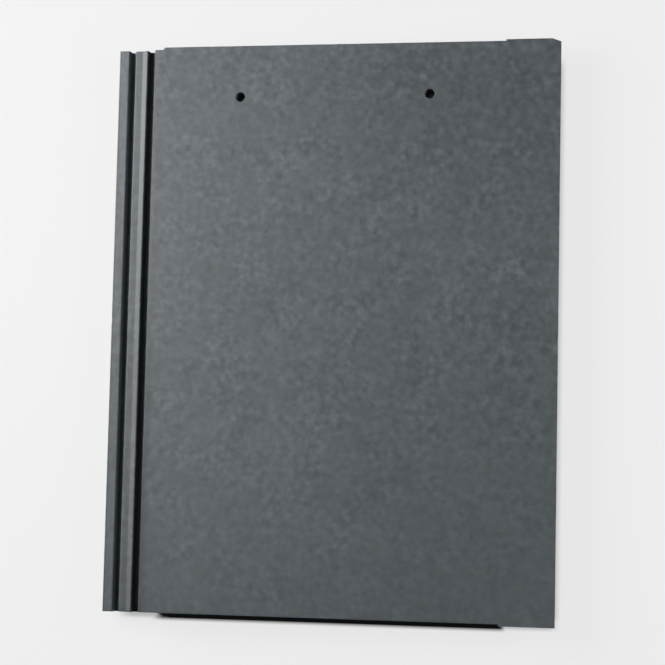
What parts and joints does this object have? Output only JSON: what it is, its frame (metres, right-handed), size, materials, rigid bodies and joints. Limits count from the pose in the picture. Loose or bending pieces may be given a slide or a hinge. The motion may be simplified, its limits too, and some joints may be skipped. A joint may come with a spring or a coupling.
{
  "type": "flat interlocking concrete roof tile",
  "caption": "Flat rectangular roof tile with side interlocks, a raked downturned nose, hanging nibs, weather bars and nail holes.",
  "frame": {"origin": "centre of the bounding box, in the plane that the nose and the nibs rest on", "axes": "+X across the tile from the underlock to the overlock, +Y up the roof slope to the head, +Z out of the weathered face"},
  "size_m": [0.33, 0.42, 0.027],
  "materials": {
    "concrete": "through-coloured slate-grey concrete with a smooth, finely mottled matt face"
  },
  "bodies": {
    "root": {"roof_tile": "concrete"}
  },
  "joints": []
}
